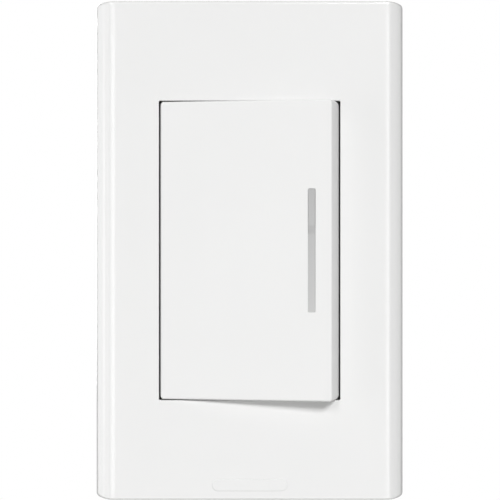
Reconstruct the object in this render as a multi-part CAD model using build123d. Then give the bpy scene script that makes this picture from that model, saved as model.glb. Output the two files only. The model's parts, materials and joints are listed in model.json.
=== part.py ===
from build123d import *
import math
import os

# Wall dimmer: one wide rocker that swings about a vertical axis, and a slide dimmer behind a
# narrow slot in the rocker's face.
# Frame: +X right, +Y into the wall, +Z up. y = 0 is the wall plane; the origin lies midway between
# the two box-screw holes. Millimetres.

# ---- cover plate
PLATE_H = 120.0          # height
PLATE_HW = 37.3          # half width at the widest point
PLATE_T = 8.0            # the face stands this far off the wall
PLATE_WALL = 2.0
ROLL_X = 31.8            # where the flat face starts to roll over
CREASE_X = 33.6          # crease between face and side bevel
CREASE_DROP = 0.10
EDGE_R = 0.65            # small rounding along the top and bottom edges
OUTLINE_R = 1.1          # corners of the outline
WIN_HW = 21.8            # window half width
WIN_HH = 36.0            # window half height
COLLAR_END = -3.3        # the window's walls run this far back, with a slight draft
COLLAR_HW = 22.1         # half width and half height at the back of the collar
COLLAR_HH = 36.06
COLLAR_T = 1.1
PILL_L, PILL_W, PILL_T, PILL_Z = 18.0, 2.8, 0.2, -56.4   # plain raised bar near the bottom edge

# ---- mounting frame and yoke
BOX_PITCH = 83.5         # box screw pitch
BOX_HOLE_R = 2.25
YOKE_T = 1.2
YOKE_HW, YOKE_HH = 25.0, 52.0
YOKE_WIN_HW, YOKE_WIN_HH = 22.55, 36.8
FRAME_HW, FRAME_HH = 33.0, 56.0
FRAME_WIN_HW = 23.7
ACCESS_R = 3.9
FRAME_SCREW_Z = 49.0

# ---- rocker
PIVOT_Y = -4.0           # vertical pivot axis, 4 mm behind the plate face
REST_TILT = -8.0         # left edge pressed in, right edge proud
SIDE_R = 21.7            # side faces are arcs about the pivot
FACE_V = -6.97           # front face, ahead of the pivot
FACE_HW = 20.55
RIM_V = 2.5
ROCKER_HH = 35.75
SHELL_T = 2.0
ROCKER_EDGE_R = 0.5
ROCKER_CORNER_R = 0.85

# ---- slide control in the rocker's face
SLOT_U = 15.8
SLOT_W = 1.76
SLOT_L = 29.3
SLOT_LIP = 0.3
SHUTTER_W = 4.0
SHUTTER_L = 48.0
TRAVEL = 18.0
PAD_L, PAD_W, PAD_PROUD = 10.9, 1.64, 0.12
PAD_GAP = 0.06
FORK_Z = 9.0             # fork centre at rest (top of the travel)
LEVER_X = 15.7

# ---- hinge
PIN_R = 1.25
BEARING_R = 1.30

# ---- housing behind the wall plane
LID_Y0, LID_Y1 = 2.0, 4.0
LID_HW, LID_HH = 22.45, 36.7     # the lid fills the yoke's window behind the rocker
LID_SKIRT, LID_SKIRT_Y = 0.6, -1.0
HOUSE_HW, HOUSE_HH, HOUSE_Y1 = 22.5, 33.0, 34.0
HOUSE_WALL = 1.6
PCB_Y0, PCB_Y1 = 15.0, 16.6

# ---- contacts
BLADE_PIVOT_Y = 8.7
BLADE_REST = 8.0         # the seesaw leans the other way from the rocker

# ---- terminals
TERM_X = 10.0
WIRE_Z = -27.0
WIRE_R = 1.4
BLOCK_HW = 6.0
BLOCK_Z0, BLOCK_Z1 = -30.8, -18.4
BUTTON_Z = -21.2


def bx(x0, x1, y0, y1, z0, z1):
    return Pos((x0 + x1) / 2, (y0 + y1) / 2, (z0 + z1) / 2) * Box(x1 - x0, y1 - y0, z1 - z0)


def cy(x, z, r, y0, y1):
    return Pos(x, (y0 + y1) / 2, z) * Rot(90, 0, 0) * Cylinder(r, y1 - y0)


def cz(x, y, r, z0, z1):
    return Pos(x, y, (z0 + z1) / 2) * Cylinder(r, z1 - z0)


def cx(y, z, r, x0, x1):
    return Pos((x0 + x1) / 2, y, z) * Rot(0, 90, 0) * Cylinder(r, x1 - x0)


def mir_x(s):
    return mirror(s, about=Plane.YZ)


def mir_z(s):
    return mirror(s, about=Plane.XY)


def solids_of(*shapes):
    out = []
    for s in shapes:
        out += list(s.solids())
    return out


nodes = {}


def put(name, *shapes):
    s = solids_of(*shapes)
    nodes[name] = s[0] if len(s) == 1 else Compound(children=s)


# ------------------------------------------------------------------ cover plate
def plate_outer():
    f = -PLATE_T
    with BuildSketch(Plane.XY) as sk:
        with BuildLine():
            a = Polyline((0, 0), (PLATE_HW, 0), (PLATE_HW, -2.9))
            b = Spline((PLATE_HW, -2.9), (37.12, -3.9), (36.68, -4.8), (36.0, -5.8), (35.3, -6.62),
                       (34.5, -7.35), (CREASE_X, f + CREASE_DROP),
                       tangents=[(0, -1), (-1, -0.42)])
            c = Spline((CREASE_X, f + CREASE_DROP), (ROLL_X, f), tangents=[(-1, -0.10), (-1, 0)])
            d = Line((ROLL_X, f), (0, f))
            e = Line((0, f), (0, 0))
        make_face()
        mirror(about=Plane.YZ)
    return extrude(sk.sketch, amount=PLATE_H / 2, both=True)


def plate_inner():
    w = PLATE_WALL
    with BuildSketch(Plane.XY) as sk:
        with BuildLine():
            Polyline((0, 1), (PLATE_HW - w, 1), (PLATE_HW - w, -2.6), (34.6, -4.0), (33.6, -5.2),
                     (32.4, -PLATE_T + w), (0, -PLATE_T + w), close=True)
        make_face()
        mirror(about=Plane.YZ)
    return extrude(sk.sketch, amount=PLATE_H / 2 - w, both=True)


def cover_plate():
    p = plate_outer()
    corner = p.edges().filter_by(Axis.Y).filter_by(lambda e: abs(abs(e.center().X) - PLATE_HW) < 0.01)
    p = fillet(corner, OUTLINE_R) if len(corner) == 4 else p
    # top and bottom front edges
    with BuildSketch(Plane.YZ) as prof:
        Rectangle(PLATE_T * 2 - 0.0, PLATE_H)
        fillet(prof.vertices().filter_by(lambda v: v.X < 0), EDGE_R)
    rounder = extrude(prof.sketch, amount=60, both=True)
    p = p & rounder
    with BuildSketch(Plane.XZ) as out:
        RectangleRounded(2 * PLATE_HW, PLATE_H, OUTLINE_R)
    p = p & extrude(out.sketch, amount=60, both=True)
    p = p - plate_inner()
    # collar around the window, with drafted walls
    p = p + (bx(-COLLAR_HW - COLLAR_T, COLLAR_HW + COLLAR_T, -PLATE_T + 1.0, COLLAR_END,
                -COLLAR_HH - COLLAR_T, COLLAR_HH + COLLAR_T))
    front = Plane.XZ.offset(PLATE_T) * RectangleRounded(2 * WIN_HW, 2 * WIN_HH, 0.3)
    back = Plane.XZ.offset(-COLLAR_END) * RectangleRounded(2 * COLLAR_HW, 2 * COLLAR_HH, 0.3)
    win = loft([front, back])
    p = p - win - bx(-WIN_HW, WIN_HW, -PLATE_T - 1, -PLATE_T + 0.001, -WIN_HH + 0.3, WIN_HH - 0.3)
    # snap fingers
    for sx in (-1, 1):
        finger = bx(sx * 20 - 3, sx * 20 + 3, -PLATE_T + 1.0, -0.5, 56.15, 57.15)
        hook = bx(sx * 20 - 3, sx * 20 + 3, -1.2, -0.5, 55.5, 57.15)
        p = p + finger + hook + mir_z(finger) + mir_z(hook)
    # plain raised bar
    with BuildSketch(Plane.XZ.offset(PLATE_T - 0.1)) as pill:
        with Locations((0, PILL_Z)):
            SlotOverall(PILL_L, PILL_W)
    bar = extrude(pill.sketch, amount=PILL_T + 0.1)
    p = p + bar
    # pry notch under the bottom edge
    p = p - bx(-5, 5, -1.4, 1, -PLATE_H / 2 - 1, -PLATE_H / 2 + 1.2)
    return p


put("cover_plate", cover_plate())


# ------------------------------------------------------------------ mounting frame
def sub_frame():
    f = bx(-FRAME_HW, FRAME_HW, -3.0, 0, -FRAME_HH, FRAME_HH)
    f = fillet(f.edges().filter_by(Axis.Y), 2.0)
    f = f - bx(-YOKE_HW - 0.3, YOKE_HW + 0.3, -YOKE_T - 0.05, 1, -YOKE_HH - 0.3, YOKE_HH + 0.3)
    for sx in (-1, 1):                       # side ribs beside the window
        f = f + bx(sx * 24.5 - 0.8, sx * 24.5 + 0.8, -5.0, -2.9, -38, 38)
    f = f - bx(-FRAME_WIN_HW, FRAME_WIN_HW, -6, 1, -YOKE_WIN_HH, YOKE_WIN_HH)
    for sz in (-1, 1):
        f = f - cy(0, sz * BOX_PITCH / 2, ACCESS_R, -6, 1)
        f = f - cy(0, sz * FRAME_SCREW_Z, 1.6, -6, 1)
        for sx in (-1, 1):                   # catches for the plate's snap fingers
            f = f - bx(sx * 20 - 3.4, sx * 20 + 3.4, -1.4, 1, sz * 55.7 - 0.7, sz * 55.7 + 0.7)
            # lightening pockets
            f = f - bx(sx * 15 - 6.5, sx * 15 + 6.5, -3.5, -2.2, sz * 45 - 4.5, sz * 45 + 4.5)
    return f


put("sub_frame", sub_frame())


def yoke():
    y = bx(-YOKE_HW, YOKE_HW, -YOKE_T, 0, -YOKE_HH, YOKE_HH)
    y = fillet(y.edges().filter_by(Axis.Y), 2.0)
    y = y - bx(-YOKE_WIN_HW, YOKE_WIN_HW, -2, 1, -YOKE_WIN_HH, YOKE_WIN_HH)
    for sz in (-1, 1):
        y = y - cy(0, sz * BOX_PITCH / 2, BOX_HOLE_R, -2, 1)
        y = y - cy(0, sz * FRAME_SCREW_Z, 1.45, -2, 1)
        for sx in (-1, 1):                   # bent lugs that grip the housing
            x0, x1 = (YOKE_WIN_HW + 0.05, YOKE_WIN_HW + 1.25)
            lug = bx(x0, x1, -YOKE_T, 14, 12, 20) - bx(x0 - 1, x1 + 1, 7.8, 11.2, 14, 18)
            lug = lug if sz > 0 else mir_z(lug)
            lug = lug if sx > 0 else mir_x(lug)
            y = y + lug
    return y


put("yoke", yoke())


def pan_screw(x, z, y_head, r_head, h_head, r, y_end):
    s = cy(x, z, r_head, y_head - h_head, y_head)
    s = fillet(s.edges().filter_by(GeomType.CIRCLE).sort_by(Axis.Y)[:1], h_head * 0.45)
    s = s + cy(x, z, r, y_head, y_end)
    cross = bx(x - 0.45, x + 0.45, y_head - h_head - 1, y_head - h_head + 0.9, z - 1.6, z + 1.6) + \
        bx(x - 1.6, x + 1.6, y_head - h_head - 1, y_head - h_head + 0.9, z - 0.45, z + 0.45)
    return s - cross


put("frame_screws", *[pan_screw(0, sz * FRAME_SCREW_Z, -3.0, 2.6, 1.5, 1.45, 0) for sz in (-1, 1)])


# ------------------------------------------------------------------ housing
SCREW_X, SCREW_Z = 18.6, 29.2


def housing_lid():
    lid = bx(-LID_HW, LID_HW, LID_SKIRT_Y, LID_Y1, -LID_HH, LID_HH)
    lid = fillet(lid.edges().filter_by(Axis.Y), 0.3)
    lid = lid - bx(-LID_HW + LID_SKIRT, LID_HW - LID_SKIRT, LID_SKIRT_Y - 1, LID_Y0,
                   -LID_HH + LID_SKIRT, LID_HH - LID_SKIRT)
    for sz in (-1, 1):                       # bearing posts for the hinge pins
        post = bx(-2.4, 2.4, PIVOT_Y, LID_Y0 + 0.5, 27, 31) + cz(0, PIVOT_Y, 2.4, 27, 31)
        post = post + bx(-4.2, 4.2, 0.2, LID_Y0 + 0.5, 27, 31)
        post = post - cz(0, PIVOT_Y, BEARING_R, 26, 32)
        lid = lid + (post if sz > 0 else mir_z(post))
        for sx in (-1, 1):
            lid = lid - cy(sx * SCREW_X, sz * SCREW_Z, 1.1, 0, 6)
            lid = lid - cy(sx * SCREW_X, sz * SCREW_Z, 1.9, 0, LID_Y0 + 1.1)
    lid = lid - bx(-3.9, 3.9, 0, 6, -2.6, 2.6)                              # plunger opening
    lid = lid - bx(LEVER_X - 2.2, LEVER_X + 2.2, 0, 6, -FORK_Z - 1.6, FORK_Z + 1.6)   # lever slot
    return lid


put("housing_lid", housing_lid())


def housing_body():
    b = bx(-HOUSE_HW, HOUSE_HW, LID_Y1, HOUSE_Y1, -HOUSE_HH, HOUSE_HH)
    b = fillet(b.edges().filter_by(Axis.Y), 1.0)
    w = HOUSE_WALL
    b = b - bx(-HOUSE_HW + w, HOUSE_HW - w, 0, HOUSE_Y1 - w, -HOUSE_HH + w, HOUSE_HH - w)
    for sx in (-1, 1):
        for sz in (-1, 1):
            # screw bosses in the corners
            boss = bx(16.4, 21.2, LID_Y1, 14, 27.0, 31.7) - cy(SCREW_X, SCREW_Z, 0.9, 0, 13.0)
            boss = boss if sz > 0 else mir_z(boss)
            boss = boss if sx > 0 else mir_x(boss)
            b = b + boss
            # snap wedges that fill the yoke's lug windows
            wedge = bx(HOUSE_HW - 0.3, HOUSE_HW + 0.95, 8, 11, 14.2, 17.8)
            wedge = wedge if sz > 0 else mir_z(wedge)
            wedge = wedge if sx > 0 else mir_x(wedge)
            b = b + wedge
        # openings for the terminal blocks in the back wall
        b = b - bx(sx * TERM_X - BLOCK_HW, sx * TERM_X + BLOCK_HW, HOUSE_Y1 - w - 1, HOUSE_Y1 + 1,
                   BLOCK_Z0, BLOCK_Z1)
        # ledges that carry the circuit board
        for z0 in (-14.0, 18.0):
            led = bx(19.4, 21.2, PCB_Y1, PCB_Y1 + 4, z0, z0 + 4)
            b = b + (led if sx > 0 else mir_x(led))
    for i in range(5):                        # cooling slots through the top wall's back half
        x = -12 + 6 * i
        b = b - bx(x - 0.8, x + 0.8, 31.0 - 1.2, 33.0 - 0.9, HOUSE_HH - w - 1, HOUSE_HH + 1)
    return b


put("housing_body", housing_body())


def csk_screw(x, z, y_top, y_end):
    head = Pos(x, y_top + 0.5, z) * Rot(90, 0, 0) * Cylinder(1.8, 1.0)
    s = head + cy(x, z, 0.9, y_top + 1.0, y_end)
    cross = bx(x - 0.3, x + 0.3, y_top - 1, y_top + 0.6, z - 1.2, z + 1.2) + \
        bx(x - 1.2, x + 1.2, y_top - 1, y_top + 0.6, z - 0.3, z + 0.3)
    return s - cross


put("housing_screws", *[csk_screw(sx * SCREW_X, sz * SCREW_Z, LID_Y0 + 0.1, 12.5)
                        for sx in (-1, 1) for sz in (-1, 1)])

# ------------------------------------------------------------------ rocker
ROCK = Pos(0, PIVOT_Y, 0) * Rot(0, 0, REST_TILT)


def arc_section(radius, face_v, rim_v, half_face=None):
    hf = half_face if half_face is not None else math.sqrt(radius ** 2 - face_v ** 2)
    xr = math.sqrt(radius ** 2 - rim_v ** 2)
    mid = (math.atan2(face_v, hf) + math.atan2(rim_v, xr)) / 2
    mx, my = radius * math.cos(mid), radius * math.sin(mid)
    with BuildSketch(Plane.XY) as sk:
        with BuildLine():
            Line((-hf, face_v), (hf, face_v))
            ThreePointArc((hf, face_v), (mx, my), (xr, rim_v))
            Line((xr, rim_v), (-xr, rim_v))
            ThreePointArc((-xr, rim_v), (-mx, my), (-hf, face_v))
        make_face()
    return sk.sketch


def rocker_shell():
    s = extrude(arc_section(SIDE_R, FACE_V, RIM_V), amount=ROCKER_HH, both=True)
    side = s.edges().filter_by(lambda e: e.geom_type == GeomType.CIRCLE)
    s = fillet(side, ROCKER_CORNER_R)
    front = s.faces().sort_by(Axis.Y)[0]
    s = fillet(front.edges(), ROCKER_EDGE_R)
    inner = extrude(arc_section(SIDE_R - SHELL_T, FACE_V + SHELL_T, 0.0), amount=ROCKER_HH - SHELL_T, both=True)
    xi = math.sqrt((SIDE_R - SHELL_T) ** 2 - RIM_V ** 2)
    inner = inner + bx(-xi, xi, -0.1, RIM_V + 1, -ROCKER_HH + SHELL_T, ROCKER_HH - SHELL_T)
    s = s - inner
    # slot for the slide control, and the pocket behind it that guides the shutter
    slot = bx(SLOT_U - SLOT_W / 2, SLOT_U + SLOT_W / 2, FACE_V - 1, FACE_V + 2.5, -SLOT_L / 2, SLOT_L / 2)
    slot = fillet(slot.edges().filter_by(Axis.Y), 0.25)
    pocket = bx(SLOT_U - SHUTTER_W / 2 - 0.15, SLOT_U + SHUTTER_W / 2 + 0.15, FACE_V + SLOT_LIP,
                FACE_V + SHELL_T + 0.5, -33.4, 33.4)
    s = s - slot - pocket
    # beads that hold the carrier
    for sx in (-1, 1):
        for z0 in (-20.0, 14.0):
            s = s + bx(min(sx * 18.5, sx * 20.2), max(sx * 18.5, sx * 20.2), -3.85, -3.1, z0, z0 + 6)
    return s


put("rocker_shell", ROCK * rocker_shell())

CAR_V0, CAR_V1 = FACE_V + SHELL_T, -3.9


def rocker_carrier():
    c = bx(-18.8, 18.8, CAR_V0, CAR_V1, -33.5, 33.5)
    c = c - bx(SLOT_U - 1.05, SLOT_U + 1.05, CAR_V0 - 1, CAR_V1 + 1, -FORK_Z - 2.6, FORK_Z + 2.6)
    # weight-saving windows
    for sx in (-1, 1):
        for z0 in (-20.0, 8.0):
            if sx < 0:
                c = c - bx(-15.0, -6.5, CAR_V0 - 1, CAR_V1 + 1, z0, z0 + 12)
    for z0, z1 in ((24.4, 26.4), (31.9, 33.5)):          # hinge lugs
        lug = bx(-2.9, 2.9, CAR_V0 + 0.5, 0, z0, z1) + cz(0, 0, 2.9, z0, z1)
        lug = lug - cz(0, 0, PIN_R, z0 - 1, z1 + 1)
        c = c + lug + mir_z(lug)
    tube = cy(0, 0, 3.4, CAR_V0 + 0.5, 4.4)
    rib = bx(-0.7, 0.7, CAR_V0 + 0.5, -1.4, 3.0, 24.6)
    rib2 = bx(-12.0, 12.0, CAR_V0 + 0.5, -1.6, -0.7, 0.7)
    c = c + tube + rib + mir_z(rib) + rib2
    c = c - cy(0, 0, 1.9, CAR_V1, 6)
    return c


put("rocker_carrier", ROCK * rocker_carrier())
pin = cz(0, 0, PIN_R, 24.4, 33.4)
put("hinge_pins", ROCK * pin, ROCK * mir_z(pin))


# plunger and its spring, inside the carrier's tube
def spring_y(x, z, r, wire_r, y0, y1, pitch):
    turns_len = (y1 - y0) - 2 * wire_r
    h = Helix(pitch=pitch, height=turns_len, radius=r)
    start = h @ 0
    tang = h % 0
    prof = Plane(origin=start, z_dir=tang) * Circle(wire_r)
    s = sweep(prof, path=h, is_frenet=True)
    return Pos(x, y0 + wire_r, z) * Rot(-90, 0, 0) * s


put("plunger_spring", ROCK * spring_y(0, 0, 1.35, 0.2, -3.88, 0.9, 0.95))


def contact_plunger():
    p = cy(0, 0, 1.82, 0.95, 10.2) + Pos(0, 10.2, 0) * Sphere(1.82)
    p = p & bx(-3, 3, 0, 12.0, -3, 3)
    return p


put("contact_plunger", ROCK * contact_plunger())


# ------------------------------------------------------------------ slide control
SH_V0, SH_V1 = FACE_V + SLOT_LIP + 0.05, CAR_V0 - 0.08
sh_z1 = SHUTTER_L - 15.0
shutter = bx(SLOT_U - SHUTTER_W / 2, SLOT_U + SHUTTER_W / 2, SH_V0, SH_V1, -15.0, sh_z1)
pad_z1 = SLOT_L / 2 - PAD_GAP
pv = FACE_V - PAD_PROUD
with BuildSketch(Plane.YZ.offset(SLOT_U - PAD_W / 2)) as pad_side:      # the lower end ramps down
    with BuildLine():
        Polyline((pv, pad_z1), (pv, pad_z1 - PAD_L + 2.6), (SH_V0, pad_z1 - PAD_L),
                 (SH_V0 + 0.3, pad_z1 - PAD_L), (SH_V0 + 0.3, pad_z1), close=True)
    make_face()
pad = extrude(pad_side.sketch, amount=PAD_W)
top_edges = pad.edges().filter_by(lambda e: abs(e.center().Z - pad_z1) < 0.01 and abs(e.center().Y - pv) < 0.01)
pad = fillet(top_edges, 0.08)
put("slider_shutter", ROCK * (shutter + pad))


def slider_fork():
    f = bx(SLOT_U - 0.8, SLOT_U + 0.8, SH_V1, -3.1, FORK_Z - 2.2, FORK_Z + 2.2)
    f = f + bx(SLOT_U - 2.5, SLOT_U + 2.5, CAR_V1 + 0.1, -3.0, FORK_Z - 2.2, FORK_Z + 2.2)
    for s in (-1, 1):
        t = bx(SLOT_U - 2.0, SLOT_U + 2.0, -3.1, 3.1, FORK_Z + 0.7, FORK_Z + 1.7)
        f = f + (t if s > 0 else Pos(0, 0, 2 * FORK_Z) * mir_z(t))
    return f


put("slider_fork", ROCK * slider_fork())

# ------------------------------------------------------------------ slide potentiometer
POT_X0, POT_X1, POT_Y0, POT_Y1, POT_HH = 11.8, 19.6, 8.0, PCB_Y0, 16.0
case = bx(POT_X0, POT_X1, POT_Y0, POT_Y1, -POT_HH, POT_HH) - \
    bx(POT_X0 + 0.5, POT_X1 - 0.5, POT_Y0 + 0.5, POT_Y1 - 0.6, -POT_HH + 0.5, POT_HH - 0.5) - \
    bx(LEVER_X - 1.9, LEVER_X + 1.9, POT_Y0 - 1, POT_Y0 + 1, -FORK_Z - 1.2, FORK_Z + 1.2)
put("slide_pot_case", case)
put("pot_track", bx(POT_X0 + 0.6, POT_X1 - 0.6, 13.5, POT_Y1 - 0.6, -POT_HH + 0.6, POT_HH - 0.6))
lever = bx(LEVER_X - 1.5, LEVER_X + 1.5, -4.5, 9.3, FORK_Z - 0.6, FORK_Z + 0.6)
lever = fillet(lever.edges().filter_by(Axis.Z).sort_by(Axis.Y)[:2], 0.6)
carriage = bx(POT_X0 + 0.9, POT_X1 - 0.9, 9.2, 12.5, FORK_Z - 3.0, FORK_Z + 3.0)
put("pot_lever", lever + carriage)
brush = bx(14.2, 14.8, 12.5, 13.42, FORK_Z - 2.4, FORK_Z + 2.4) + \
    bx(16.6, 17.2, 12.5, 13.42, FORK_Z - 2.4, FORK_Z + 2.4) + \
    bx(14.2, 17.2, 12.5, 12.8, FORK_Z - 0.8, FORK_Z + 0.8)
put("pot_brush", brush)

# ------------------------------------------------------------------ switch contacts
BL = Pos(0, BLADE_PIVOT_Y, 0) * Rot(0, 0, BLADE_REST)
blade = bx(-9.2, 9.2, -0.6, 0.2, -2.0, 2.0)
blade = fillet(blade.edges().filter_by(Axis.Y), 1.0)
blade = blade + cz(0, 0, 0.5, -3.3, 3.3)
rivet_m = cy(8.0, 0, 1.3, 0.2, 0.75)
rivet_m = fillet(rivet_m.edges().filter_by(GeomType.CIRCLE).sort_by(Axis.Y)[-1:], 0.3)
put("seesaw_blade", BL * blade)
put("moving_contact_rivet", BL * rivet_m)

ears = bx(-2.0, 2.0, 7.5, 11.4, 2.3, 3.1) + bx(-2.0, 2.0, 7.5, 11.4, -3.1, -2.3)
bracket = bx(-4.0, 4.0, 11.0, 11.8, -3.1, 3.1) + ears - cz(0, BLADE_PIVOT_Y, 0.56, -5, 5)
bracket = bracket + bx(-4.0, -1.0, 11.0, 11.8, -19.0, -3.0)
bracket = bracket + bx(-9.0, -1.0, 11.0, 11.8, -22.0, -18.9) + bx(-10.6, -8.6, 11.0, 11.8, -30.2, -18.9)
put("common_bracket", bracket)
fixed_face = 10.86
fixed = bx(5.6, 10.6, 11.6, 12.4, -2.6, 2.6) + bx(7.4, 10.6, 11.6, 12.4, -5.0, 16.0) + \
    bx(7.4, 10.6, 11.6, PCB_Y0, 15.2, 16.0)
put("fixed_contact_blade", fixed)
rivet_f = cy(7.9, 0, 1.5, fixed_face, 11.6)
put("fixed_contact_rivet", rivet_f)


# ------------------------------------------------------------------ terminals
def terminal_block(sx):
    x = sx * TERM_X
    b = bx(x - BLOCK_HW, x + BLOCK_HW, 20.0, HOUSE_Y1, BLOCK_Z0, BLOCK_Z1)
    b = b - bx(x - BLOCK_HW + 1.4, x + BLOCK_HW - 1.4, 19.0, 29.0, BLOCK_Z0 + 1.0, BLOCK_Z1 - 1.2)
    b = b - cy(x, WIRE_Z, WIRE_R, 28, HOUSE_Y1 + 1)
    b = b - bx(x - 2.1, x + 2.1, 28, HOUSE_Y1 + 1, BUTTON_Z - 1.6, BUTTON_Z + 1.6)
    return b


def terminal(sx):
    x = sx * TERM_X
    t = bx(x - 3.6, x + 3.6, 21.0, 28.6, BLOCK_Z0 + 1.05, BLOCK_Z0 + 1.85)      # clamp floor
    t = t + bx(x - 3.6, x - 2.8, 21.0, 28.6, BLOCK_Z0 + 1.05, -23.6)
    t = t + bx(x + 2.8, x + 3.6, 21.0, 28.6, BLOCK_Z0 + 1.05, -23.6)
    t = t + bx(x - 1.5, x + 1.5, 12.0, 21.2, BLOCK_Z0 + 1.05, BLOCK_Z0 + 1.85)
    return t


def lock_spring(sx):
    x = sx * TERM_X
    with BuildSketch(Plane.YZ) as sk:
        with BuildLine():
            Polyline((21.2, -22.8), (25.6, -22.8), (26.6, -26.2), (26.95, -26.1), (25.95, -22.4),
                     (21.2, -22.4), close=True)
        make_face()
    return Pos(x, 0, 0) * extrude(sk.sketch, amount=2.4, both=True)


def release_button(sx):
    x = sx * TERM_X
    b = bx(x - 2.0, x + 2.0, 29.2, HOUSE_Y1 + 0.0, BUTTON_Z - 1.5, BUTTON_Z + 1.5)
    b = fillet(b.faces().sort_by(Axis.Y)[-1].edges(), 0.3)
    foot = bx(x - 2.6, x + 2.6, 28.1, 28.95, BUTTON_Z - 1.9, BUTTON_Z + 1.45) + \
        bx(x - 1.9, x + 1.9, 28.6, 29.4, BUTTON_Z - 1.4, BUTTON_Z + 1.4)
    return b + foot


for sx, nm in ((-1, "line"), (1, "load")):
    put(nm + "_terminal_block", terminal_block(sx))
    put(nm + "_terminal", terminal(sx))
    put(nm + "_lock_spring", lock_spring(sx))
    put(nm + "_release_button", release_button(sx))

# ------------------------------------------------------------------ electronics
pcb = bx(-20.6, 20.6, PCB_Y0, PCB_Y1, -16.0, 26.0)
pcb = pcb - bx(7.3, 10.7, PCB_Y0 - 1, PCB_Y1 + 1, 15.1, 16.1)
put("circuit_board", pcb)

sink = bx(-14.0, 14.0, 6.0, 30.5, 29.7, 31.2) + bx(-14.0, 14.0, 6.0, 7.5, 24.0, 29.8)
sink = sink - cz(0, 27.6, 1.2, 25, 35)
put("heat_sink", sink)

tri = bx(-5.1, 5.1, 15.9 + 1.0, 25.0, 25.2, 29.4) + bx(-5.1, 5.1, 16.9, 30.2, 28.4, 29.7)
tri = tri - cz(0, 27.6, 1.85, 25, 35)
for k in (-2.54, 0, 2.54):
    tri = tri + bx(k - 0.4, k + 0.4, 16.75, 17.2, 22.0, 26.5)
put("triac", tri)
ts = cz(0, 27.6, 2.5, 26.6, 28.4) + cz(0, 27.6, 1.2, 28.3, 31.2)
ts = ts - bx(-1.6, 1.6, 27.2, 28.0, 26.0, 27.5)
put("triac_screw", ts)

CH_X, CH_Z, CH_Y0, CH_Y1 = -9.2, 9.5, 17.8, 25.4
core = cy(CH_X, CH_Z, 9.0, CH_Y0, CH_Y1) - cy(CH_X, CH_Z, 4.6, CH_Y0 - 1, CH_Y1 + 1)
core = fillet(core.edges().filter_by(GeomType.CIRCLE), 0.6)
wind = cy(CH_X, CH_Z, 9.9, CH_Y0 - 0.9, CH_Y1 + 0.9) - cy(CH_X, CH_Z, 3.7, CH_Y0 - 2, CH_Y1 + 2)
wind = wind - (cy(CH_X, CH_Z, 9.06, CH_Y0 - 0.06, CH_Y1 + 0.06) - cy(CH_X, CH_Z, 4.54, CH_Y0 - 1, CH_Y1 + 1))
gap = Pos(CH_X, 0, CH_Z) * bx(-1.6, 1.6, CH_Y0 - 3, CH_Y1 + 3, -12, 0)
wind = wind - gap
put("choke_core", core)
put("choke_winding", wind)

cap = bx(2.2, 18.8, PCB_Y1 + 0.3, 30.5, 6.6, 14.4)
cap = fillet(cap.edges(), 0.5)
cap = cap + cy(3.6, 10.5, 0.35, PCB_Y1 - 0.0, 18) + cy(17.4, 10.5, 0.35, PCB_Y1 - 0.0, 18)
put("film_capacitor", cap)


def axial(x, z, r, length, lead_r, lift):
    y = PCB_Y1 + lift
    b = cx(y, z, r, x - length / 2, x + length / 2)
    b = fillet(b.edges().filter_by(GeomType.CIRCLE), r * 0.35)
    b = b + cx(y, z, lead_r, x - length / 2 - 1.4, x + length / 2 + 1.4)
    for s in (-1, 1):
        b = b + cy(x + s * (length / 2 + 1.2), z, lead_r, PCB_Y1, y + lead_r)
    return b


put("resistors", axial(10.5, 3.0, 1.2, 6.3, 0.28, 1.5), axial(10.5, -1.0, 1.2, 6.3, 0.28, 1.5))
put("diac", axial(10.5, -5.0, 0.9, 4.0, 0.25, 1.2))
put("fuse", axial(-8.0, -7.0, 1.3, 7.5, 0.3, 1.6))

os.makedirs("parts", exist_ok=True)
for name, shape in nodes.items():
    shape.label = name
    export_step(shape, "parts/" + name + ".step")
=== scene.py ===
import bpy
import bmesh
import json
import math
from mathutils import Matrix, Vector


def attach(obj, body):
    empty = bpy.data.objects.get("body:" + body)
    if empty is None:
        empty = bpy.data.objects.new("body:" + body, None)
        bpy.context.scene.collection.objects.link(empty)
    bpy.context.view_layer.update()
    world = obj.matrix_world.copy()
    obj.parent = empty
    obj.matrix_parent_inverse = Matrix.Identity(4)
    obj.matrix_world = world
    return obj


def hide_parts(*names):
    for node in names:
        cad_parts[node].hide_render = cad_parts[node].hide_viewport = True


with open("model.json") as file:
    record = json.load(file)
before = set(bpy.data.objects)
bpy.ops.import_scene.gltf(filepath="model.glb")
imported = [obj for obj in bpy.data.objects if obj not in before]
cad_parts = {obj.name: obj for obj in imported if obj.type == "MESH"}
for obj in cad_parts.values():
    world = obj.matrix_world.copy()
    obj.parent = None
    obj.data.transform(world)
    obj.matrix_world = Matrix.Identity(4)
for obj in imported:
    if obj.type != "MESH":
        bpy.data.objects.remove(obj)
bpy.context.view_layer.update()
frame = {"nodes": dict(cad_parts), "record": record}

MM = 0.001
scene = bpy.context.scene

# ---------------------------------------------------------------- dimensions, millimetres
PLATE_HH = 60.0
PLATE_HW = 37.3
FACE = -8.0
ROLL_X, CREASE_X, CREASE_Y = 31.8, 33.6, -7.90
WIN_HW, WIN_HH, WIN_R = 21.8, 36.0, 0.3
COLLAR_END, COLLAR_DW, COLLAR_DH, COLLAR_T = -3.3, 0.3, 0.06, 1.1
PIVOT_Y, TILT = -4.0, -8.0
SIDE_R, FACE_V, RIM_V, ROCK_HH = 21.7, -6.97, 2.5, 35.75
SLOT_U, SLOT_W, SLOT_L = 15.8, 1.76, 29.3
SHELL_T, SLOT_LIP = 2.0, 0.3
PAD_HL, PAD_HW, PAD_PROUD, PAD_GAP, PAD_RAMP = 5.45, 0.82, 0.12, 0.06, 2.6


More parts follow.
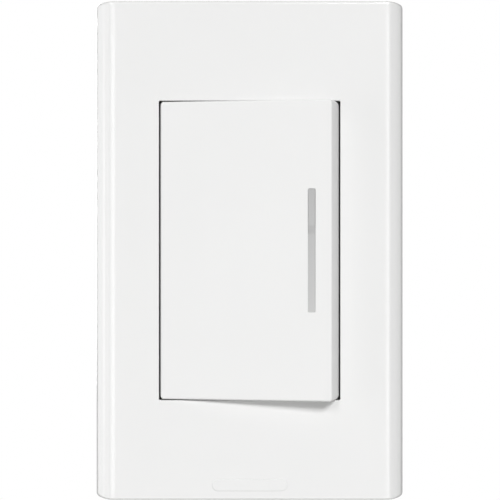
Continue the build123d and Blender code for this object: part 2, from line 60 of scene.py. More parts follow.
# ---------------------------------------------------------------- mesh helpers
def make_object(name, bm, body, material, replaces=()):
    bmesh.ops.recalc_face_normals(bm, faces=bm.faces)
    me = bpy.data.meshes.new(name)
    bm.to_mesh(me)
    bm.free()
    ob = bpy.data.objects.new(name, me)
    scene.collection.objects.link(ob)
    me.materials.append(material)
    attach(ob, body)
    if replaces:
        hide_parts(*replaces)
    return ob


def finish_shading(ob, angle=32.0):
    """Smooth shading with sharp edges over the angle, and normals that follow the large faces."""
    me = ob.data
    for p in me.polygons:
        p.use_smooth = True
    bm = bmesh.new()
    bm.from_mesh(me)
    lim = math.radians(angle)
    for e in bm.edges:
        e.smooth = not (len(e.link_faces) == 2 and e.calc_face_angle(0.0) > lim)
        if len(e.link_faces) != 2:
            e.smooth = False
    bm.to_mesh(me)
    bm.free()
    m = ob.modifiers.new("normals", "WEIGHTED_NORMAL")
    m.mode = "FACE_AREA"
    m.weight = 50
    m.keep_sharp = True
    return ob


def ring_strip(bm, rings, closed=True):
    for a, b in zip(rings, rings[1:]):
        n = len(a)
        for i in range(n if closed else n - 1):
            j = (i + 1) % n
            bm.faces.new((a[i], a[j], b[j], b[i]))


def rounded_rect(hw, hh, r, seg=6, cx=0.0, cz=0.0):
    """Points of a rounded rectangle in x, z, starting at the right end of the top edge."""
    pts = []
    for k, (sx, sz) in enumerate(((1, 1), (-1, 1), (-1, -1), (1, -1))):
        ox, oz = cx + sx * (hw - r), cz + sz * (hh - r)
        a0 = k * 90.0
        for i in range(seg + 1):
            a = math.radians(a0 + 90.0 * i / seg)
            pts.append((ox + r * math.cos(a), oz + r * math.sin(a)))
    return pts


def verts_at(bm, pts, fn):
    return [bm.verts.new(fn(p)) for p in pts]


def hermite(points, t0, t1, n):
    """Smooth curve through the points, with chord-length steps and the given end directions."""
    P = [Vector((p[0], p[1])) for p in points]
    d = [(b - a).length for a, b in zip(P, P[1:])]
    T = []
    for i in range(len(P)):
        if i == 0:
            T.append(Vector(t0).normalized())
        elif i == len(P) - 1:
            T.append(Vector(t1).normalized())
        else:
            a, b = (P[i] - P[i - 1]) / d[i - 1], (P[i + 1] - P[i]) / d[i]
            T.append(((a * d[i] + b * d[i - 1]) / (d[i] + d[i - 1])))
    out = []
    for i in range(len(P) - 1):
        for k in range(n):
            s = k / n
            h00, h10 = 2 * s**3 - 3 * s**2 + 1, s**3 - 2 * s**2 + s
            h01, h11 = -2 * s**3 + 3 * s**2, s**3 - s**2
            out.append(h00 * P[i] + h10 * d[i] * T[i] + h01 * P[i + 1] + h11 * d[i] * T[i + 1])
    out.append(P[-1])
    return out


def smooth(t):
    t = max(0.0, min(1.0, t))
    return t * t * (3 - 2 * t)


# ---------------------------------------------------------------- materials
def new_mat(name):
    m = bpy.data.materials.new(name)
    m.use_nodes = True
    nt = m.node_tree
    nt.nodes.clear()
    out = nt.nodes.new("ShaderNodeOutputMaterial")
    bs = nt.nodes.new("ShaderNodeBsdfPrincipled")
    nt.links.new(bs.outputs["BSDF"], out.inputs["Surface"])
    return m, nt, bs


def node(nt, kind, **inputs):
    n = nt.nodes.new(kind)
    for k, v in inputs.items():
        n.inputs[k].default_value = v
    return n


def obj_coords(nt, scale=1.0):
    tc = nt.nodes.new("ShaderNodeTexCoord")
    mp = nt.nodes.new("ShaderNodeMapping")
    mp.inputs["Scale"].default_value = (scale, scale, scale) if not hasattr(scale, "__len__") else scale
    nt.links.new(tc.outputs["Object"], mp.inputs["Vector"])
    return mp.outputs["Vector"]


def noise(nt, vec, scale, detail=3.0, rough=0.5):
    n = nt.nodes.new("ShaderNodeTexNoise")
    n.inputs["Scale"].default_value = scale
    n.inputs["Detail"].default_value = detail
    n.inputs["Roughness"].default_value = rough
    nt.links.new(vec, n.inputs["Vector"])
    return n.outputs["Fac"]


def ramp(nt, fac, lo, hi, a=0.35, b=0.65):
    r = nt.nodes.new("ShaderNodeMapRange")
    r.inputs["From Min"].default_value = a
    r.inputs["From Max"].default_value = b
    r.inputs["To Min"].default_value = lo
    r.inputs["To Max"].default_value = hi
    nt.links.new(fac, r.inputs["Value"])
    return r.outputs["Result"]


def two_tone(nt, fac, c0, c1):
    mx = nt.nodes.new("ShaderNodeMix")
    mx.data_type = "RGBA"
    mx.inputs["A"].default_value = (*c0, 1)
    mx.inputs["B"].default_value = (*c1, 1)
    nt.links.new(fac, mx.inputs["Factor"])
    return mx.outputs["Result"]


def add_bump(nt, bs, height, strength, distance):
    b = nt.nodes.new("ShaderNodeBump")
    b.inputs["Strength"].default_value = strength
    b.inputs["Distance"].default_value = distance
    nt.links.new(height, b.inputs["Height"])
    nt.links.new(b.outputs["Normal"], bs.inputs["Normal"])


def plastic(name, c, var, rough, rough_var, grain_scale, grain_strength, grain_depth, ior=1.5, coat=0.0,
            spec=0.5):
    """Moulded plastic: faint tone drift, roughness drift and a surface grain."""
    m, nt, bs = new_mat(name)
    v = obj_coords(nt)
    big = noise(nt, v, 45.0, 2.0)
    mid = noise(nt, v, 420.0, 3.0)
    lo = tuple(x * (1 - var) for x in c)
    nt.links.new(two_tone(nt, ramp(nt, big, 0, 1), lo, c), bs.inputs["Base Color"])
    nt.links.new(ramp(nt, mid, rough - rough_var, rough + rough_var), bs.inputs["Roughness"])
    bs.inputs["IOR"].default_value = ior
    bs.inputs["Specular IOR Level"].default_value = spec
    if coat:
        bs.inputs["Coat Weight"].default_value = coat
        bs.inputs["Coat Roughness"].default_value = 0.08
    add_bump(nt, bs, noise(nt, v, grain_scale, 2.0, 0.55), grain_strength, grain_depth)
    return m


def metal(name, c, var, rough, rough_var, stretch=(1, 1, 1), bump=0.1, depth=0.00002, scale=900.0):
    m, nt, bs = new_mat(name)
    v = obj_coords(nt, stretch)
    fine = noise(nt, v, scale, 4.0, 0.6)
    big = noise(nt, obj_coords(nt), 90.0, 3.0)
    lo = tuple(x * (1 - var) for x in c)
    nt.links.new(two_tone(nt, ramp(nt, big, 0, 1), lo, c), bs.inputs["Base Color"])
    nt.links.new(ramp(nt, fine, rough - rough_var, rough + rough_var), bs.inputs["Roughness"])
    bs.inputs["Metallic"].default_value = 1.0
    add_bump(nt, bs, fine, bump, depth)
    return m


def strip_material_painted_shade():
    """Satin grey strip with painted shade: darker at its top end and a little lighter towards its lower end, as light
    from above falls into the slot.
    """
    m = plastic("strip_grey", (0.47, 0.47, 0.47), 0.02, 0.42, 0.04, 5200.0, 0.12, 0.00002)
    nt = m.node_tree
    bs = next(n for n in nt.nodes if n.type == "BSDF_PRINCIPLED")
    old = bs.inputs["Base Color"].links[0].from_socket
    sep = nt.nodes.new("ShaderNodeSeparateXYZ")
    nt.links.new(obj_coords(nt), sep.inputs["Vector"])
    mix = nt.nodes.new("ShaderNodeMix")
    mix.data_type = "RGBA"
    mix.blend_type = "MULTIPLY"
    mix.inputs["Factor"].default_value = 1.0
    nt.links.new(old, mix.inputs["A"])
    # painted shade: the base colour runs from lighter at the strip's lower end to darker at its top end
    tone = two_tone(nt, ramp(nt, sep.outputs["Z"], 0, 1, -0.0146, 0.0146), (1.12, 1.12, 1.12), (0.90, 0.90, 0.90))
    nt.links.new(tone, mix.inputs["B"])
    nt.links.new(mix.outputs["Result"], bs.inputs["Base Color"])
    return m


WHITE = (0.800, 0.800, 0.797)
# painted shade: the rocker's white is a little darker than the plate's, offsetting the extra fill light its tilted
# face catches
ROCKER_WHITE_PAINTED_SHADE = (0.777, 0.777, 0.774)
MAT = {
    "plate_white": plastic("plate_white", WHITE, 0.006, 0.14, 0.015, 2600.0, 0.04, 0.00001),
    "rocker_white": plastic("rocker_white", ROCKER_WHITE_PAINTED_SHADE, 0.006, 0.36, 0.02, 2600.0, 0.05, 0.00002, spec=0.06),
    "strip_grey": strip_material_painted_shade(),
    "frame_plastic": plastic("frame_plastic", (0.74, 0.74, 0.735), 0.03, 0.50, 0.05, 5000.0, 0.25, 0.00003),
    "housing_plastic": plastic("housing_plastic", (0.60, 0.605, 0.61), 0.04, 0.46, 0.06, 4200.0, 0.3, 0.00004),
    "carrier_plastic": plastic("carrier_plastic", (0.76, 0.75, 0.69), 0.03, 0.45, 0.05, 4200.0, 0.2, 0.00003),
    "board": plastic("board", (0.035, 0.13, 0.055), 0.25, 0.30, 0.05, 1800.0, 0.3, 0.00004, coat=0.3),
    "ferrite": plastic("ferrite", (0.045, 0.045, 0.05), 0.2, 0.62, 0.08, 3500.0, 0.5, 0.00006),
    "film_yellow": plastic("film_yellow", (0.62, 0.36, 0.035), 0.08, 0.30, 0.05, 1500.0, 0.15, 0.00004),
    "black_epoxy": plastic("black_epoxy", (0.018, 0.018, 0.02), 0.15, 0.5, 0.06, 5200.0, 0.4, 0.00004),
    "resistor_body": plastic("resistor_body", (0.47, 0.34, 0.19), 0.1, 0.42, 0.05, 2500.0, 0.2, 0.00004),
    "fuse_body": plastic("fuse_body", (0.76, 0.74, 0.67), 0.05, 0.22, 0.04, 1800.0, 0.1, 0.00003),
    "diac_body": plastic("diac_body", (0.36, 0.09, 0.04), 0.1, 0.12, 0.03, 1800.0, 0.05, 0.00003),
    "phenolic": plastic("phenolic", (0.17, 0.085, 0.04), 0.15, 0.45, 0.06, 2500.0, 0.2, 0.00004),
    "release_orange": plastic("release_orange", (0.72, 0.21, 0.03), 0.04, 0.38, 0.05, 4200.0, 0.2, 0.00003),
    "zinc_steel": metal("zinc_steel", (0.66, 0.67, 0.69), 0.12, 0.34, 0.08, (1, 1, 14), 0.25, 0.00002, 260.0),
    "screw_steel": metal("screw_steel", (0.68, 0.68, 0.67), 0.10, 0.28, 0.06, (1, 1, 1), 0.15, 0.00002, 1500.0),
    "spring_steel": metal("spring_steel", (0.58, 0.58, 0.60), 0.10, 0.24, 0.06, (1, 1, 1), 0.12, 0.00001, 1500.0),
    "brass": metal("brass", (0.76, 0.54, 0.22), 0.14, 0.28, 0.07, (1, 1, 6), 0.18, 0.00002, 500.0),
    "silver_contact": metal("silver_contact", (0.82, 0.81, 0.78), 0.06, 0.30, 0.05, (1, 1, 1), 0.15, 0.00001, 1500.0),
    "aluminium": metal("aluminium", (0.74, 0.745, 0.75), 0.08, 0.32, 0.07, (8, 1, 1), 0.2, 0.00002, 400.0),
    "enamel_copper": metal("enamel_copper", (0.56, 0.20, 0.075), 0.18, 0.26, 0.05, (1, 1, 1), 0.12, 0.00002, 900.0),
    "pot_metal": metal("pot_metal", (0.62, 0.62, 0.62), 0.10, 0.34, 0.06, (1, 1, 8), 0.2, 0.00002, 400.0),
}


# ---------------------------------------------------------------- cover plate
def plate_profile():
    """Right half of the plate's outer section, from the wall edge to the flat of the face."""
    side = hermite([(PLATE_HW, -2.9), (37.12, -3.9), (36.68, -4.8), (36.0, -5.8), (35.3, -6.62),
                    (34.5, -7.35), (CREASE_X, CREASE_Y)], (0, -1), (-1, -0.42), 6)
    roll = hermite([(CREASE_X, CREASE_Y), (ROLL_X, FACE)], (-1, -0.10), (-1, 0), 10)
    pts = [Vector((PLATE_HW, y)) for y in (0.0, -0.9, -1.9)] + side
    # the crease is eased over a fraction of a millimetre
    a, b = side[-1] - (side[-1] - side[-2]).normalized() * 0.34, roll[0] + (roll[1] - roll[0]).normalized() * 0.22
    pts = pts[:-1]
    while (pts[-1] - side[-1]).length < 0.42:
        pts.pop()
    c = side[-1]
    for k in range(7):
        t = k / 6
        pts.append((1 - t) ** 2 * a + 2 * t * (1 - t) * c + t * t * b)
    pts += [p for p in roll[1:] if (p - c).length > 0.3]
    return pts


def profile_normals(pts):
    out = []
    for i, p in enumerate(pts):
        a = pts[max(0, i - 1)]
        b = pts[min(len(pts) - 1, i + 1)]
        t = (b - a).normalized()
        out.append(Vector((-t.y, t.x)))       # outward for a path that runs side -> front -> centre
    return out


def build_plate():
    bm = bmesh.new()
    half = plate_profile()
    nrm = profile_normals(half)
    nrm = [n if n.x >= -1e-6 or n.y < 0 else -n for n in nrm]
    nrm = [(-n if (n.x < 0 and n.y > 0) or n.y > 1e-6 else n) for n in nrm]
    nrm[0] = nrm[1] = nrm[2] = Vector((1, 0))
    nrm[-1] = Vector((0, -1))
    full = half + [Vector((-p.x, p.y)) for p in reversed(half)]
    fn = nrm + [Vector((-n.x, n.y)) for n in reversed(nrm)]

    def er(p):
        return 0.66 + 0.44 * smooth((p.y - FACE - 0.6) / 3.2)

    NT = 8
    rows = []
    for sgn, order in ((-1, range(NT, -1, -1)), (1, range(0, NT + 1))):
        for k in order:
            t = math.pi / 2 * k / NT
            row = []
            for p, n in zip(full, fn):
                r = er(p)
                q = p - n * r * (1 - math.cos(t))
                row.append(bm.verts.new((q.x * MM, min(q.y, 0.0) * MM, sgn * (PLATE_HH - r + r * math.sin(t)) * MM)))
            rows.append(row)
    mid = NT                                     # rows[mid] and rows[mid + 1] bound the long middle
    n = len(full)
    centre = len(half) - 1                       # the strip across the flat face
    for a in range(len(rows) - 1):
        for i in range(n - 1):
            if a == mid and i == centre:
                continue                         # the face with the window is made below
            bm.faces.new((rows[a][i], rows[a][i + 1], rows[a + 1][i + 1], rows[a + 1][i]))
    # end caps
    bm.faces.new(rows[0])
    bm.faces.new(list(reversed(rows[-1])))
    # window: rings from the face in along the drafted walls, round the collar's end and back up outside it
    SEG = 5
    rings = []
    e = 0.22
    spec = [(e * (1 - math.sin(t)), FACE + e * (1 - math.cos(t)), WIN_R) for t in
            [math.pi / 2 * k / 5 for k in range(6)]]
    spec = [(off, off, y, r + off) for off, y, r in spec]
    dw, dh, ct = COLLAR_DW, COLLAR_DH, COLLAR_T
    spec += [(dw, dh, COLLAR_END - 0.2, WIN_R), (dw + 0.06, dh + 0.06, COLLAR_END - 0.06, WIN_R + 0.06),
             (dw + 0.2, dh + 0.2, COLLAR_END, WIN_R + 0.2), (dw + ct - 0.2, dh + ct - 0.2, COLLAR_END, 1.2),
             (dw + ct - 0.06, dh + ct - 0.06, COLLAR_END - 0.06, 1.34), (dw + ct, dh + ct, COLLAR_END - 0.2, 1.4),
             (dw + ct, dh + ct, -6.0, 1.4)]
    for ow, oh, y, r in spec:
        pts = rounded_rect(WIN_HW + ow, WIN_HH + oh, r, SEG)
        rings.append(verts_at(bm, pts, lambda p, y=y: (p[0] * MM, y * MM, p[1] * MM)))
    ring_strip(bm, rings)

    def frame_face(outer, ring):
        """Four flat faces between an outer rectangle (right-top, left-top, left-bottom, right-bottom) and a ring."""
        m = [SEG // 2 + 1 + k * (SEG + 1) for k in range(4)]          # middle of each corner
        N = len(ring)
        for k in range(4):
            a, b = m[k], m[(k + 1) % 4]
            arc = []
            i = a
            while True:
                arc.append(ring[i % N])
                if i % N == b:
                    break
                i += 1
            bm.faces.new([outer[k]] + arc + [outer[(k + 1) % 4]])

    rt, lt = rows[mid + 1][centre], rows[mid + 1][centre + 1]
    rb, lb = rows[mid][centre], rows[mid][centre + 1]
    # ring order starts at the right-hand top corner and runs anticlockwise in x, z
    frame_face([rt, lt, lb, rb], rings[0])
    # inner skin: cavity behind the face
    inner = [(35.3, 0.0), (35.3, -2.6), (34.9, -3.5), (34.4, -4.3), (33.6, -5.2), (32.9, -5.75), (32.2, -6.0)]
    inner_full = [Vector(p) for p in inner] + [Vector((-p[0], p[1])) for p in reversed(inner)]
    r0 = [bm.verts.new((p.x * MM, p.y * MM, -58.0 * MM)) for p in inner_full]
    r1 = [bm.verts.new((p.x * MM, p.y * MM, 58.0 * MM)) for p in inner_full]
    k = len(inner)
    for i in range(len(inner_full) - 1):
        if i == k - 1:
            continue
        bm.faces.new((r0[i], r1[i], r1[i + 1], r0[i + 1]))
    bm.faces.new(r0)
    bm.faces.new(list(reversed(r1)))
    frame_face([r1[k - 1], r1[k], r0[k], r0[k - 1]], rings[-1])
    # rim against the wall
    outer_loop = [row[0] for row in rows] + [row[-1] for row in reversed(rows)]
    inner_loop = [r0[0], r1[0], r1[-1], r0[-1]]
    # right side, top, left side, bottom
    nr = len(rows)
    right = [row[0] for row in rows]
    left = [row[-1] for row in rows]
    bm.faces.new(right + [r1[0], r0[0]])
    bm.faces.new(list(reversed(left)) + [r0[-1], r1[-1]])
    bm.faces.new([right[-1], left[-1], r1[-1], r1[0]])
    bm.faces.new([left[0], right[0], r0[0], r0[-1]])
    bmesh.ops.remove_doubles(bm, verts=bm.verts, dist=1e-7)
    ob = make_object("plate", bm, "frame", MAT["plate_white"], replaces=("cover_plate",))
    return finish_shading(ob)


plate = build_plate()


# plain raised bar near the plate's bottom edge
def build_bar():
    bm = bmesh.new()
    hl, hw, z0, h, e = 9.0, 1.4, -56.4, 0.2, 0.12
    rings = []
    for off, y in [(0.0, FACE + 0.3), (0.0, FACE - h + e)] + \
            [(-e * (1 - math.cos(t)), FACE - h + e - e * math.sin(t)) for t in [math.pi / 2 * k / 4 for k in range(1, 5)]]:
        pts = rounded_rect(hl + off, hw + off, hw + off - 0.001, 10, 0.0, z0)
        rings.append(verts_at(bm, pts, lambda p, y=y: (p[0] * MM, y * MM, p[1] * MM)))
    ring_strip(bm, rings)
    bm.faces.new(rings[-1])
    bm.faces.new(list(reversed(rings[0])))
    ob = make_object("raised_bar", bm, "frame", MAT["plate_white"])
    return finish_shading(ob)


build_bar()

# snap fingers on the plate's short walls
def build_fingers():
    bm = bmesh.new()
    for sx in (-1, 1):
        for sz in (-1, 1):
            prof = [(56.15, -5.9), (57.15, -5.9), (57.15, -0.75), (56.9, -0.5), (55.75, -0.5), (55.5, -0.75),
                    (55.5, -1.0), (55.75, -1.2), (56.15, -1.2)]
            a = [bm.verts.new(((sx * 20 - 3) * MM, y * MM, sz * z * MM)) for z, y in prof]
            b = [bm.verts.new(((sx * 20 + 3) * MM, y * MM, sz * z * MM)) for z, y in prof]
            ring_strip(bm, [a, b])
            bm.faces.new(a)
            bm.faces.new(list(reversed(b)))
    ob = make_object("snap_fingers", bm, "frame", MAT["plate_white"])
    m = ob.modifiers.new("edge", "BEVEL")
    m.width, m.segments, m.limit_method, m.angle_limit = 0.08 * MM, 2, "ANGLE", math.radians(40)
    return finish_shading(ob)


build_fingers()

# ---------------------------------------------------------------- rocker
ROCK = Matrix.Translation((0, PIVOT_Y * MM, 0)) @ Matrix.Rotation(math.radians(TILT), 4, "Z")


def build_rocker():
    bm = bmesh.new()
    r = 0.5
    cu = math.sqrt((SIDE_R - r) ** 2 - (FACE_V + r) ** 2)
    ang_arc = math.atan2(FACE_V + r, cu)                   # where the side arc meets the edge rounding
    a_rim = math.asin(RIM_V / SIDE_R)
    half, nrm, er = [], [], []
    for k in range(15):
        a = a_rim + (ang_arc - a_rim) * k / 14
        half.append(Vector((SIDE_R * math.cos(a), SIDE_R * math.sin(a))))
        nrm.append(Vector((math.cos(a), math.sin(a))))
        er.append(0.85)
    for k in range(1, 9):
        a = ang_arc + (-math.pi / 2 - ang_arc) * k / 8
        half.append(Vector((cu + r * math.cos(a), FACE_V + r + r * math.sin(a))))
        nrm.append(Vector((math.cos(a), math.sin(a))))
        er.append(0.85 - 0.35 * k / 8)
    full = half + [Vector((-p.x, p.y)) for p in reversed(half)]
    fn = nrm + [Vector((-n.x, n.y)) for n in reversed(nrm)]
    fr = er + list(reversed(er))
    NT = 7
    rows = []
    for sgn, order in ((-1, range(NT, -1, -1)), (1, range(0, NT + 1))):
        for k in order:
            t = math.pi / 2 * k / NT
            row = []
            for p, n, q in zip(full, fn, fr):
                c = p - n * q * (1 - math.cos(t))
                row.append(bm.verts.new(ROCK @ Vector((c.x * MM, min(c.y, RIM_V) * MM, sgn * (ROCK_HH - q + q * math.sin(t)) * MM))))
            rows.append(row)
    n, centre = len(full), len(half) - 1
    for a in range(len(rows) - 1):
        for i in range(n - 1):
            if a == NT and i == centre:
                continue
            bm.faces.new((rows[a][i], rows[a][i + 1], rows[a + 1][i + 1], rows[a + 1][i]))
    bm.faces.new(rows[0])
    bm.faces.new(list(reversed(rows[-1])))
    # slot for the slide control, with eased edges, opening into the guide pocket
    SEG = 4
    e = 0.10
    spec = [(e * (1 - math.sin(t)), FACE_V + e * (1 - math.cos(t)), 0.25 + e * (1 - math.sin(t))) for t in
            [math.pi / 2 * k / 4 for k in range(5)]]
    spec += [(0.0, FACE_V + SLOT_LIP, 0.25)]
    rings = []
    for off, v, rr in spec:
        pts = rounded_rect(SLOT_W / 2 + off, SLOT_L / 2 + off, rr, SEG, SLOT_U, 0.0)
        rings.append(verts_at(bm, pts, lambda p, v=v: ROCK @ Vector((p[0] * MM, v * MM, p[1] * MM))))
    pk = [(2.15, 33.4, FACE_V + SLOT_LIP), (2.15, 33.4, FACE_V + SHELL_T)]
    for hw, hh, v in pk:
        pts = rounded_rect(hw, hh, 0.2, SEG, SLOT_U, 0.0)
        rings.append(verts_at(bm, pts, lambda p, v=v: ROCK @ Vector((p[0] * MM, v * MM, p[1] * MM))))
    ring_strip(bm, rings)

    def frame_face(outer, ring):
        m = [SEG // 2 + k * (SEG + 1) for k in range(4)]
        N = len(ring)
        for k in range(4):
            a, b = m[k], m[(k + 1) % 4]
            arc, i = [], a
            while True:
                arc.append(ring[i % N])
                if i % N == b:
                    break
                i += 1
            bm.faces.new([outer[k]] + arc + [outer[(k + 1) % 4]])

    rt, lt = rows[NT + 1][centre], rows[NT + 1][centre + 1]
    rb, lb = rows[NT][centre], rows[NT][centre + 1]
    frame_face([rt, lt, lb, rb], rings[0])
    # cavity
    ri = SIDE_R - SHELL_T
    vi = FACE_V + SHELL_T
    ih = []
    a1 = math.asin(RIM_V / ri)
    a2 = -math.asin(-vi / ri)
    for k in range(12):
        a = a1 + (a2 - a1) * k / 11
        ih.append(Vector((ri * math.cos(a), ri * math.sin(a))))
    inf = ih + [Vector((-p.x, p.y)) for p in reversed(ih)]
    hh = ROCK_HH - SHELL_T
    r0 = [bm.verts.new(ROCK @ Vector((p.x * MM, p.y * MM, -hh * MM))) for p in inf]
    r1 = [bm.verts.new(ROCK @ Vector((p.x * MM, p.y * MM, hh * MM))) for p in inf]
    kk = len(ih)
    for i in range(len(inf) - 1):
        if i == kk - 1:
            continue
        bm.faces.new((r0[i], r1[i], r1[i + 1], r0[i + 1]))
    bm.faces.new(r0)
    bm.faces.new(list(reversed(r1)))
    frame_face([r1[kk - 1], r1[kk], r0[kk], r0[kk - 1]], rings[-1])
    right, left = [row[0] for row in rows], [row[-1] for row in rows]
    bm.faces.new(right + [r1[0], r0[0]])
    bm.faces.new(list(reversed(left)) + [r0[-1], r1[-1]])
    bm.faces.new([right[-1], left[-1], r1[-1], r1[0]])
    bm.faces.new([left[0], right[0], r0[0], r0[-1]])
    ob = make_object("rocker", bm, "rocker", MAT["rocker_white"], replaces=("rocker_shell",))
    return finish_shading(ob)


build_rocker()


# ---------------------------------------------------------------- slide control
def rounded_block(bm, hw, hl, v_front, v_back, e, r, cu, cz, tf, seg=4):
    rings = []
    for t in [math.pi / 2 * k / 4 for k in range(4, -1, -1)]:
        off, v = -e * (1 - math.cos(t)), v_front + e * (1 - math.sin(t))
        pts = rounded_rect(hw + off, hl + off, r, seg, cu, cz)
        rings.append(verts_at(bm, pts, lambda p, v=v: tf @ Vector((p[0] * MM, v * MM, p[1] * MM))))
    pts = rounded_rect(hw, hl, r, seg, cu, cz)
    rings.append(verts_at(bm, pts, lambda p: tf @ Vector((p[0] * MM, v_back * MM, p[1] * MM))))
    ring_strip(bm, rings)
    bm.faces.new(rings[0])
    bm.faces.new(list(reversed(rings[-1])))


def build_slider():
    bm = bmesh.new()
    sv0, sv1 = FACE_V + SLOT_LIP + 0.05, FACE_V + SHELL_T - 0.08
    rounded_block(bm, 2.0, 24.0, sv0, sv1, 0.12, 0.3, SLOT_U, 9.0, ROCK)
    # thumb pad: proud of the slot, its lower end running out into the strip
    pz1, pv = SLOT_L / 2 - PAD_GAP, FACE_V - PAD_PROUD
    z_low, n = pz1 - 2 * PAD_HL, 14
    line = [(pz1, sv0 + 0.1), (pz1, pv + 0.1)]
    line += [(pz1 - 0.1 * (1 - math.cos(math.pi / 2 * k / 4)), pv + 0.1 - 0.1 * math.sin(math.pi / 2 * k / 4)) for k in range(1, 5)]
    line += [(z_low + PAD_RAMP * (1 - k / n), pv + (sv0 - pv) * smooth(k / n)) for k in range(n + 1)]
    line += [(z_low, sv0 + 0.1)]
    sections = []
    for z, v in line:
        e = min(0.07, max(0.0, (sv0 + 0.1 - v) * 0.4))
        prof = [(-PAD_HW, sv0 + 0.1), (-PAD_HW, v + e)]
        prof += [(-PAD_HW + e * (1 - math.cos(t)), v + e - e * math.sin(t)) for t in [math.pi / 2 * k / 4 for k in range(1, 4)]]
        prof += [(-PAD_HW + e, v)]
        prof += [(-u, w) for u, w in reversed(prof)]
        sections.append([bm.verts.new(ROCK @ Vector(((SLOT_U + u) * MM, w * MM, z * MM))) for u, w in prof])
    for a, b in zip(sections, sections[1:]):
        for i in range(len(a)):
            j = (i + 1) % len(a)
            bm.faces.new((a[i], a[j], b[j], b[i]))
    bm.faces.new(sections[0])
    bm.faces.new(list(reversed(sections[-1])))
    bmesh.ops.remove_doubles(bm, verts=bm.verts, dist=1e-7)
    ob = make_object("slider_strip", bm, "slider", MAT["strip_grey"], replaces=("slider_shutter",))
    return finish_shading(ob)


build_slider()

# ---------------------------------------------------------------- pieces that keep the CAD shape, with eased edges
slot_of = {s["node"]: s["material_slot"] for s in frame["record"]["subparts"]}
body_of = {n: b for b, ns in frame["record"]["behaviour"]["bodies"].items() for n in ns}


def eased(name, width, segments=2, angle=35.0):
    """A copy of a CAD node with merged flat faces and small rounded edges, standing for the node."""
    bm = bmesh.new()
    bm.from_mesh(frame["nodes"][name].data)
    bmesh.ops.remove_doubles(bm, verts=bm.verts, dist=2e-6)
    bmesh.ops.dissolve_limit(bm, angle_limit=math.radians(0.4), verts=bm.verts, edges=bm.edges,
                             use_dissolve_boundaries=False)
    ob = make_object(name + "_eased", bm, body_of[name], MAT[slot_of[name]], replaces=(name,))
    m = ob.modifiers.new("edge", "BEVEL")
    m.width, m.segments = width * MM, segments
    m.limit_method, m.angle_limit = "ANGLE", math.radians(angle)
    m.use_clamp_overlap = True
    m.miter_outer = "MITER_SHARP"
    me = ob.data
    for p in me.polygons:
        p.use_smooth = True
    n = ob.modifiers.new("normals", "WEIGHTED_NORMAL")
    n.mode, n.weight, n.keep_sharp = "FACE_AREA", 50, False
    return ob


EASE = {"sub_frame": 0.18, "yoke": 0.12, "housing_lid": 0.18, "housing_body": 0.22,
        "line_terminal_block": 0.12, "load_terminal_block": 0.12, "heat_sink": 0.12, "common_bracket": 0.06,
        "fixed_contact_blade": 0.06, "line_terminal": 0.06, "load_terminal": 0.06, "slide_pot_case": 0.06,
        "rocker_carrier": 0.1, "slider_fork": 0.08, "pot_lever": 0.08, "circuit_board": 0.06}
for name, width in EASE.items():
    eased(name, width)

for name, ob in frame["nodes"].items():
    ob.data.materials.clear()
    ob.data.materials.append(MAT[slot_of[name]])

# ---------------------------------------------------------------- floor, world, lights, camera
def build_floor():
    bm = bmesh.new()
    ring = [bm.verts.new((1.0 * math.cos(a), 1.0 * math.sin(a), -0.35)) for a in
            [2 * math.pi * k / 96 for k in range(96)]]
    bm.faces.new(ring)
    me = bpy.data.meshes.new("floor")
    bm.to_mesh(me)
    bm.free()
    ob = bpy.data.objects.new("floor", me)
    scene.collection.objects.link(ob)
    m, nt, bs = new_mat("floor_paint")
    bs.inputs["Base Color"].default_value = (0.80, 0.80, 0.79, 1)
    bs.inputs["Roughness"].default_value = 0.8
    me.materials.append(m)


build_floor()

world = bpy.data.worlds.new("studio")
scene.world = world
world.use_nodes = True
wn = world.node_tree
wn.nodes.clear()
wo = wn.nodes.new("ShaderNodeOutputWorld")
lp = wn.nodes.new("ShaderNodeLightPath")
mixs = wn.nodes.new("ShaderNodeMixShader")
b_cam = wn.nodes.new("ShaderNodeBackground")
b_amb = wn.nodes.new("ShaderNodeBackground")
b_cam.inputs["Color"].default_value = (1, 1, 1, 1)
b_cam.inputs["Strength"].default_value = 1.0
b_amb.inputs["Color"].default_value = (1, 1, 1, 1)
b_amb.inputs["Strength"].default_value = 0.04
wn.links.new(lp.outputs["Is Camera Ray"], mixs.inputs["Fac"])
wn.links.new(b_amb.outputs["Background"], mixs.inputs[1])
wn.links.new(b_cam.outputs["Background"], mixs.inputs[2])
wn.links.new(mixs.outputs["Shader"], wo.inputs["Surface"])


def sun(name, direction, strength, angle):
    d = bpy.data.lights.new(name, "SUN")
    d.energy = strength
    d.angle = math.radians(angle)
    o = bpy.data.objects.new(name, d)
    scene.collection.objects.link(o)
    o.rotation_mode = "QUATERNION"
    o.rotation_quaternion = Vector(direction).to_track_quat("-Z", "Y")
    return o


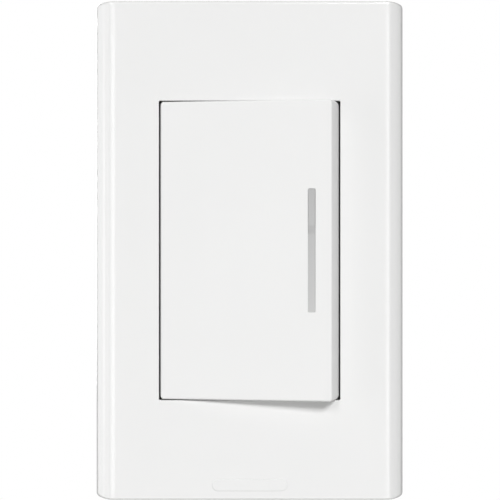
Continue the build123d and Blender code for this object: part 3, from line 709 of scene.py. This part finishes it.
def softbox(name, pos, size, watts, target=(0, 0, 0)):
    d = bpy.data.lights.new(name, "AREA")
    d.shape = "RECTANGLE"
    d.size, d.size_y = size
    d.energy = watts
    o = bpy.data.objects.new(name, d)
    scene.collection.objects.link(o)
    o.location = pos
    o.rotation_mode = "QUATERNION"
    o.rotation_quaternion = (Vector(target) - Vector(pos)).to_track_quat("-Z", "Y")
    return o


def around(azimuth, elevation, distance):
    """A point at the given angles, in degrees, seen from in front of the plate; positive azimuth is to the right."""
    a, e = math.radians(azimuth), math.radians(elevation)
    return (distance * math.sin(a) * math.cos(e), -distance * math.cos(a) * math.cos(e), distance * math.sin(e))


# a broad key from above in front, mostly from the right
softbox("key_right", around(18, 26.5, 8.0), (1.26, 1.965), 255.0)
softbox("key_middle", around(9, 26.5, 8.0), (1.26, 1.965), 151.0)
softbox("key_left", around(-18, 26.5, 8.0), (1.26, 1.965), 134.0)
# side light that shapes the bevels
sun("left_fill", (1.0, 0.18, 0.0), 0.62, 40.0)
sun("left_back", (1.0, -0.38, 0.0), 0.80, 40.0)
sun("right_back", (-1.0, -0.30, 0.0), 0.26, 40.0)
# narrow strips that draw the highlight along each crease
softbox("strip_left", around(-14, 0, 2.0), (0.16, 0.9), 2.0)
softbox("strip_left_outer", around(-27, 0, 2.0), (0.22, 0.9), 1.0)
softbox("strip_right", around(17, 0, 2.0), (0.12, 0.9), 1.5)
softbox("strip_right_outer", around(28, 0, 2.0), (0.24, 0.9), 2.6)
# overhead and rear light, for the floor, the top edge and the housing
sun("overhead", (0.0, 0.06, -1.0), 0.22, 30.0)
sun("rear", (0.25, -1.0, -0.12), 1.0, 25.0)

cam_data = bpy.data.cameras.new("camera")
cam = bpy.data.objects.new("camera", cam_data)
scene.collection.objects.link(cam)
cam_data.sensor_width = 36.0
cam_data.lens = 95.87
cam_data.clip_start = 0.01
cam_data.clip_end = 20.0
cam.location = (0.0001, -0.328, 0.00012)
cam.rotation_euler = (math.radians(90), 0, 0)
scene.camera = cam
scene.view_settings.view_transform = "Standard"
